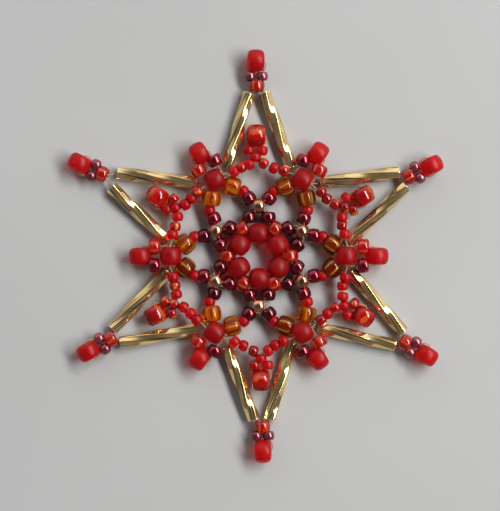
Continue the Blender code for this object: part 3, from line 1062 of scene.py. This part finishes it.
@dataclass
class CentreNet:
    """Ring and link beads in the middle, and the petal pairs up to the rose-gold beads.

    The first round turns in beside a link bead by a share of a medium bead's width.
    """

    star: StarFrame
    ring: Seat = Seat(0.0, 4.02, 2.45, 180.0)
    link: Seat = Seat(0.0, 5.62, 2.0, 180.0)
    petal: Seat = Seat(1.75, 7.02, 1.7, 90.0)
    gold: Seat = Seat(0.0, 9.01, 2.4, 180.0)
    ring_pitch: float = 7.0
    turn_share: float = 0.3

    def build(self) -> None:
        """Make the beads and both rounds of thread."""
        points, valleys = self.star.points(), self.star.valleys()
        ring = seated(points, self.ring)
        popped = Stringing("ring_beads", ROUND, FROSTED, ring, pitch=self.ring_pitch)
        popped.show(NET, *numbered("ring_bead"))
        link = seated(valleys, self.link)
        Stringing("link_beads", LINK, CLEAR_RED, link).show(NET, *numbered("link_bead"))
        petal = seated(points, *self.petal.both())
        Stringing("petal_beads", MEDIUM, BURGUNDY, petal).show(NET, "round_2_strand")
        gold = seated(points, self.gold)
        Stringing("gold_beads", MEDIUM, ROSE_GOLD, gold).show(NET, *numbered("gold_bead"))
        first, second = self.first_round(), self.second_round()
        Thread("first_round_thread", [first], closed=True).show(NET, "round_1_thread")
        Thread("second_round_thread", [second], closed=True).show(NET, "round_2_strand")

    def first_round(self) -> list[Vector]:
        """The thread through the ring beads and the link beads.

        Returns:
            Places along the round.
        """
        inner = OUTWARD * (-LAY.shared * MM)
        turn_y = self.link.y - self.turn_share * MEDIUM.across
        turn = Vector((MEDIUM.along / 2 + LAY.past, turn_y, self.ring.z)) * MM
        link = (turn, *self.link.way(MEDIUM, LAY.bend, inner), mirrored(turn))
        return self.star.around(self.ring.way(ROUND, LAY.bend), link)

    def second_round(self) -> list[Vector]:
        """The thread through the rose-gold beads, the petal beads and the link beads.

        Returns:
            Places along the round.
        """
        inner, outer = (OUTWARD * (side * LAY.shared * MM) for side in (-1, 1))
        down = self.petal.mirrored().way(MEDIUM)[::-1]
        leaving = (*self.gold.way(MEDIUM, LAY.past, inner), *down)
        link = self.link.way(LINK, LAY.past, outer)
        return self.star.around(leaving, link, self.petal.way(MEDIUM))


@dataclass
class ValleyNet:
    """The third round: leaf, spacer and amber beads up to the valley beads that lie on them.

    The thread comes up beside a valley bead at the lift's height, a share of its width further in.
    """

    star: StarFrame
    gold: Seat
    leaf: Seat = Seat(3.63, 9.92, 1.7, 97.0)
    spacer: Seat = Seat(3.51, 11.54, 1.9, 110.0)
    amber: Seat = Seat(2.15, 13.26, 1.98, 130.0)
    valley: Seat = Seat(0.0, 15.83, 3.13, 180.0)
    lift: float = 2.45
    beside_share: float = 0.25

    def build(self) -> None:
        """Make the beads and their round of thread."""
        strand, valleys = "round_3_strand", self.star.valleys()
        leaf, spacer, amber = (
            seated(valleys, *seat.both()) for seat in (self.leaf, self.spacer, self.amber)
        )
        Stringing("leaf_beads", MEDIUM, BURGUNDY, leaf).show(NET, strand)
        Stringing("spacer_beads", SMALL, SMALL_FROSTED, spacer).show(NET, strand)
        Stringing("amber_beads", AMBER_BEAD, AMBER, amber).show(NET, strand)
        valley = seated(valleys, self.valley)
        Stringing("valley_beads", ROUND, FROSTED, valley).show(NET, *numbered("valley_bead"))
        Thread("third_round_thread", [self.third_round()], closed=True).show(NET, strand)

    def third_round(self) -> list[Vector]:
        """The thread through the rose-gold beads and the valley beads.

        Returns:
            Places along the round.
        """
        outer, inner = OUTWARD * (LAY.shared * MM), OUTWARD * (-LAY.wide * MM)
        beside_y = self.valley.y - ROUND.across * self.beside_share
        beside = Vector((ROUND.along / 2 + LAY.past, beside_y, self.lift)) * MM
        beads = ((self.leaf, MEDIUM), (self.spacer, SMALL), (self.amber, AMBER_BEAD))
        side = [place for seat, size in beads for place in seat.way(size)] + [beside]
        round_valley = (*side, *self.valley.way(ROUND, LAY.past, inner), *returning(side))
        return self.star.around(self.gold.way(MEDIUM, LAY.past, outer), round_valley)


@dataclass
class StarPoints:
    """The six points: pairs of twisted bugles, and the tip beads where they meet.

    Leans are in degrees about a point's foot, and reaches are the slack before its tip beads. The
    thread leaves a valley bead low on its outer side, and keeps to a bugle's axis inside its ends.
    """

    star: StarFrame
    valley: Seat
    start: Seat = Seat(5.91, 15.737, 1.25, 0.0)
    end: Seat = Seat(1.4, 29.517, 1.25, 0.0)
    stem: Seat = Seat(0.0, 30.82, 1.7, 90.0)
    collar: Seat = Seat(1.1, 32.52, 1.8, 90.0)
    tip: Seat = Seat(0.0, 35.32, 2.2, 180.0)
    leans: tuple[float, ...] = (1.5, 4.8, -1.4, 2.4, -1.0, -4.2)
    reaches: tuple[float, ...] = (-0.1, 1.1, -0.15, -0.1, -0.15, -0.15)
    twin: float = 0.2
    inside: float = 0.8
    mouth_out: float = 0.5
    mouth_down: float = 0.87

    def lean(self, number: int) -> Matrix:
        """From one point's frame, leaning about its foot as the thread holds it, to the star's."""
        foot = Matrix.Translation((0.0, self.start.y * MM, 0.0))
        return self.star.point(number) @ foot @ turned(self.leans[number]) @ foot.inverted()

    def pulled(self, number: int) -> Matrix:
        """The same for a point's tip beads, with the slack before them."""
        return self.lean(number) @ Matrix.Translation(OUTWARD * (self.reaches[number] * MM))

    def build(self) -> None:
        """Make the bugles, the tip beads and their thread."""
        length = (self.end.centre() - self.start.centre()).length
        for number in range(POINTS):
            for left, label in enumerate((2 * number + 1, 2 * number + 2)):
                body, place = f"bugle_{label}", self.bugle_place(number, bool(left))
                Bugle(f"twisted_{body}", label, length, place).show(body, body)
        pulled = [self.pulled(number) for number in range(POINTS)]
        nodes = numbered("tip_strand")
        Stringing("stem_beads", STEM, CLEAR_RED, seated(pulled, self.stem)).show(NET, *nodes)
        collar = seated(pulled, *self.collar.both())
        Stringing("collar_beads", SMALL, MAUVE, collar).show(NET, *nodes)
        Stringing("tip_beads", TIP, BRIGHT_FROSTED, seated(pulled, self.tip)).show(NET, *nodes)
        paths = [self.tip_path(number) for number in range(POINTS)]
        Thread("tip_threads", paths).show(NET, *nodes)

    def bugle_place(self, number: int, left: bool) -> Matrix:
        """The place of one bugle.

        Args:
            number: The point's number, from zero.
            left: Whether it is the bugle on the point's left.

        Returns:
            From a bugle along X at the origin to its place.
        """
        start, end = self.start.centre(), self.end.centre()
        if left:
            start, end = mirrored(start), mirrored(end)
        run = end - start
        level = Matrix.Rotation(math.atan2(run.y, run.x), 4, "Z")
        return self.lean(number) @ Matrix.Translation((start + end) / 2) @ level

    def from_valley(self) -> list[Vector]:
        """The thread's start in a valley bead.

        Returns:
            The place where it is held, and the one where it leaves the bead.
        """
        back = self.star.valley_on_right()
        low = (OUTWARD * self.mouth_out - UPWARD * self.mouth_down) * (LAY.wide * MM)
        mouth, hole = back @ (self.valley.centre() + low), back @ -ACROSS
        steps = (-LAY.held, LAY.past / 2)
        return [mouth + hole * ((ROUND.along / 2 + step) * MM) for step in steps]

    def through_bugle(self) -> list[Vector]:
        """The thread's way along a bugle's axis.

        Returns:
            Two places at each end, just outside it and inside it.
        """
        start, end = self.start.centre(), self.end.centre()
        run = (end - start).normalized() * MM
        depths = (-LAY.bend, self.inside)
        way_in = [start + run * depth for depth in depths]
        return way_in + [end - run * depth for depth in reversed(depths)]

    def tip_path(self, number: int) -> list[Vector]:
        """The thread of one tip, from one valley bead to the next.

        Args:
            number: The point's number, from zero.

        Returns:
            Places along the thread.
        """
        stem = self.stem.way(STEM, 0.0, ACROSS * (self.twin * MM))
        loop = [*stem, *self.collar.way(SMALL), *LAY.onto(self.tip, TIP)]
        held, through = self.from_valley(), self.through_bugle()
        point, lean, pull = self.star.point(number), self.lean(number), self.pulled(number)
        path = in_frame(point, held) + in_frame(lean, through) + in_frame(pull, loop)
        path += in_frame(pull, returning(loop)) + in_frame(lean, returning(through))
        return path + in_frame(point, returning(held))


@dataclass
class Picots:
    """The six loops outside the valley beads: a large bead held out between two medium ones."""

    star: StarFrame
    valley: Seat
    side: Seat = Seat(1.7, 18.83, 2.75, 90.0)
    tip: Seat = Seat(0.0, 21.33, 2.2, 0.0)
    clear_on_right: tuple[bool, ...] = (False, True, True, False, False, True)

    def build(self) -> None:
        """Make the beads and the thread of every picot."""
        for number, right in enumerate(self.clear_on_right):
            label = number + 1
            body, frame = f"picot_{label}", self.star.valley(number)
            sides = self.side.both() if right else self.side.both()[::-1]
            tip, clear, dark = (seated([frame], seat) for seat in (self.tip, *sides))
            path = in_frame(frame, self.path())
            Stringing(f"picot_bead_{label}", TIP, BRIGHT_FROSTED, tip).show(body, body)
            Stringing(f"picot_clear_{label}", STEM, CLEAR_RED, clear).show(body, body)
            Stringing(f"picot_dark_{label}", MEDIUM, BURGUNDY, dark).show(body, body)
            Thread(f"picot_thread_{label}", [path], closed=True).show(body, body)

    def path(self) -> list[Vector]:
        """The thread of one picot, through the valley bead and round the large one.

        Returns:
            Places along the loop.
        """
        up = self.side.way(MEDIUM)
        return [
            *self.valley.way(ROUND, LAY.past), *(mirrored(place) for place in up),
            *self.tip.way(TIP, LAY.past), *reversed(up),
        ]


class Small(Enum):
    """The two kinds of small red bead."""

    FROSTED = "f"
    LINED = "l"


@dataclass
class Fringes:
    """The six fringes: a chain of small beads in each point, with a fork and a drop bead.

    Kinds are given in the order of the seats. A fringe's stray moves its beads aside and outward,
    those of the chain by the share that each of them gives.
    """

    star: StarFrame
    valley: Seat
    chain: tuple[Seat, ...] = (
        Seat(1.32, 16.7, 2.7, -27.0), Seat(2.86, 15.92, 2.8, -27.0),
        Seat(4.42, 15.34, 3.35, -27.0),
    )
    middle: Seat = Seat(0.0, 17.91, 2.4, 90.0)
    fork: Seat = Seat(1.19, 19.21, 2.0, 90.0)
    drop: Seat = Seat(0.0, 21.91, 2.15, 180.0)
    kinds: tuple[str, ...] = (
        "flfflflff", "flfffflfl", "ffflflfll", "fffflfffl", "fffflfllf", "llllflffl",
    )
    gives: tuple[float, ...] = (0.8, 0.4, 0.0)
    strays: tuple[Span, ...] = (
        (-0.5, -0.15), (0.05, -0.7), (0.15, -0.5), (-0.35, 0.45), (0.0, -0.15), (0.05, -0.25),
    )
    tilt: float = 14.0
    shift: float = 0.11
    twin: float = 0.16

    def strayed(self, seat: Seat, number: int, give: float = 1.0) -> Seat:
        """A seat moved as one fringe strays, in full or by the share that its bead gives."""
        aside, out = self.strays[number]
        return replace(seat, x=seat.x + aside * give, y=seat.y + out * give)

    def seats(self, number: int) -> tuple[Seat, ...]:
        """The small beads' seats in one fringe.

        Args:
            number: The point's number, from zero.

        Returns:
            Left chain from outside, middle, right chain from inside, then the fork's two.
        """
        chain = list(zip(self.chain, self.gives))
        left = [self.strayed(seat.mirrored(), number, give) for seat, give in reversed(chain)]
        right = [self.strayed(seat, number, give) for seat, give in chain]
        fork = (self.strayed(seat, number) for seat in reversed(self.fork.both()))
        return (*left, self.strayed(self.middle, number), *right, *fork)

    def build(self) -> None:
        """Make the beads and the thread of every fringe."""
        finishes = {Small.FROSTED: SMALL_FROSTED, Small.LINED: SMALL_LINED}
        for number, kinds in enumerate(self.kinds):
            label = number + 1
            body, frame = f"fringe_{label}", self.star.point(number)
            strung = list(zip(self.seats(number), kinds))
            for kind, finish in finishes.items():
                places = [seat.matrix(frame) for seat, letter in strung if letter == kind.value]
                name = f"fringe_{kind.name.lower()}_{label}"
                beads = Stringing(name, SMALL, finish, places, tilt=self.tilt, shift=self.shift)
                beads.show(body, body)
            drop = seated([frame], self.strayed(self.drop, number))
            Stringing(f"drop_bead_{label}", DROP, DROP_RED, drop).show(body, body)
            path = in_frame(frame, self.path(number))
            Thread(f"fringe_thread_{label}", [path]).show(body, body)

    def path(self, number: int) -> list[Vector]:
        """The thread of one fringe, from one valley bead to the next.

        Args:
            number: The point's number, from zero.

        Returns:
            Places along the thread.
        """
        back = self.star.valley_on_right()
        hole = back @ -ACROSS
        mouth = back @ self.valley.centre() + hole * (ROUND.along / 2 * MM)
        mouth += UPWARD * (LAY.wide * MM)
        steps = (-LAY.held, 2 * LAY.past)
        half = [(mouth + hole * (step * MM), 0.0) for step in steps]
        for seat, give in reversed(list(zip(self.chain, self.gives))):
            half += [(place, give) for place in reversed(seat.way(SMALL))]
        inner = self.middle.way(SMALL, 0.0, ACROSS * (self.twin * MM))
        end = (*inner, *self.fork.way(SMALL), *LAY.onto(self.drop, DROP))
        half += [(place, 1.0) for place in end]
        stray = Vector((*self.strays[number], 0.0)) * MM
        right = [place + stray * give for place, give in half]
        return right + [mirrored(place) + stray * give for place, give in reversed(half)]


@dataclass(frozen=True)
class FloorFinish(Finish):
    """The pale table top, with faint clouds in it."""

    colour: Colour
    shade: Colour
    cloud_scale: float = 18.0
    cloud_detail: float = 4.0
    cloud_span: Span = (0.3, 0.7)
    roughness: float = 0.55

    def sockets(self, sheet: ShaderSheet) -> Sockets:
        """Faint clouds.

        Args:
            sheet: The material's nodes.

        Returns:
            The inputs of its surface.
        """
        cloud = sheet.noise(self.cloud_scale, self.cloud_detail).eased(*self.cloud_span)
        body = sheet.mix(cloud, self.shade, self.colour)
        return {"Base Color": body, "Roughness": self.roughness}


@dataclass
class Studio:
    """The table, the lamp, the room's light and the camera of the photograph.

    Sizes and places are in metres, the lamp's power in watts and the sensor in millimetres.
    """

    floor: FloorFinish = FloorFinish("table_top", None, (0.48, 0.48, 0.47), (0.46, 0.46, 0.45))
    floor_side: float = 3.0
    floor_cells: int = 4
    camera_height: float = 0.40
    camera_shift: Span = (-0.00085, 0.0001)
    camera_clip: float = 0.01
    view_height: float = 0.0926
    sensor: float = 36.0
    key_place: tuple[float, float, float] = (0.66, 0.24, 0.84)
    key_size: Span = (1.2, 0.26)
    key_power: float = 15.5
    room_ahead: Colour = (0.92, 0.93, 0.96)
    room_behind: Colour = (0.14, 0.14, 0.145)
    room_span: Span = (-0.1, 0.9)
    overhead: Colour = (0.035, 0.035, 0.04)
    overhead_span: Span = (0.6, 1.0)

    def build(self) -> None:
        """Set out the whole studio."""
        self.lay_floor()
        self.hang_key()
        self.light_room()
        self.set_camera()
        bpy.context.scene.view_settings.view_transform = "Standard"

    def lay_floor(self) -> None:
        """Lay the table top that the star rests on."""
        made = bmesh.new()
        cells = self.floor_cells
        bmesh.ops.create_grid(made, x_segments=cells, y_segments=cells, size=self.floor_side / 2)
        mesh = set_down(made, "table_top")
        mesh.materials.append(self.floor.material())
        floor = put_in("table_top", mesh)

    def hang_key(self) -> None:
        """Hang the tall soft lamp on the right, where the photograph's window is."""
        lamp = bpy.data.lights.new("window_lamp", "AREA")
        lamp.shape = "RECTANGLE"
        lamp.size, lamp.size_y = self.key_size
        lamp.energy = self.key_power
        key = put_in("window_lamp", lamp)
        key.location = self.key_place
        key.rotation_euler = (-Vector(self.key_place)).to_track_quat("-Z", "Y").to_euler()

    def light_room(self) -> None:
        """Fill the room with soft light: bright ahead, dim behind, and dark overhead."""
        world = bpy.data.worlds.new("soft_room")
        world.use_nodes = True
        sheet = ShaderSheet(world.node_tree)
        _, ahead, above = sheet.parts(sheet.node("ShaderNodeTexCoord", output="Generated"))
        walls = sheet.mix(ahead.eased(*self.room_span), self.room_behind, self.room_ahead)
        light = sheet.mix(above.eased(*self.overhead_span), walls, self.overhead)
        glow = sheet.node("ShaderNodeBackground", {}, {"Color": light})
        sheet.node("ShaderNodeOutputWorld", {}, {"Surface": glow})
        bpy.context.scene.world = world

    def set_camera(self) -> None:
        """Look straight down on the star, with its first point to the top of the picture."""
        lens = bpy.data.cameras.new("camera")
        lens.sensor_width = self.sensor
        lens.lens = self.sensor * self.camera_height / self.view_height
        lens.clip_start = self.camera_clip
        camera = put_in("camera", lens)
        camera.location = (*self.camera_shift, self.camera_height)
        bpy.context.scene.camera = camera


def main() -> None:
    """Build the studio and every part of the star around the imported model."""
    logging.basicConfig(level=logging.INFO, format="%(message)s")
    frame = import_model()
    Studio().build()
    star = StarFrame.found()
    centre = CentreNet(star)
    valleys = ValleyNet(star, centre.gold)
    centre.build()
    valleys.build()
    StarPoints(star, valleys.valley).build()
    Picots(star, valleys.valley).build()
    Fringes(star, valleys.valley).build()


if __name__ == "__main__":
    main()
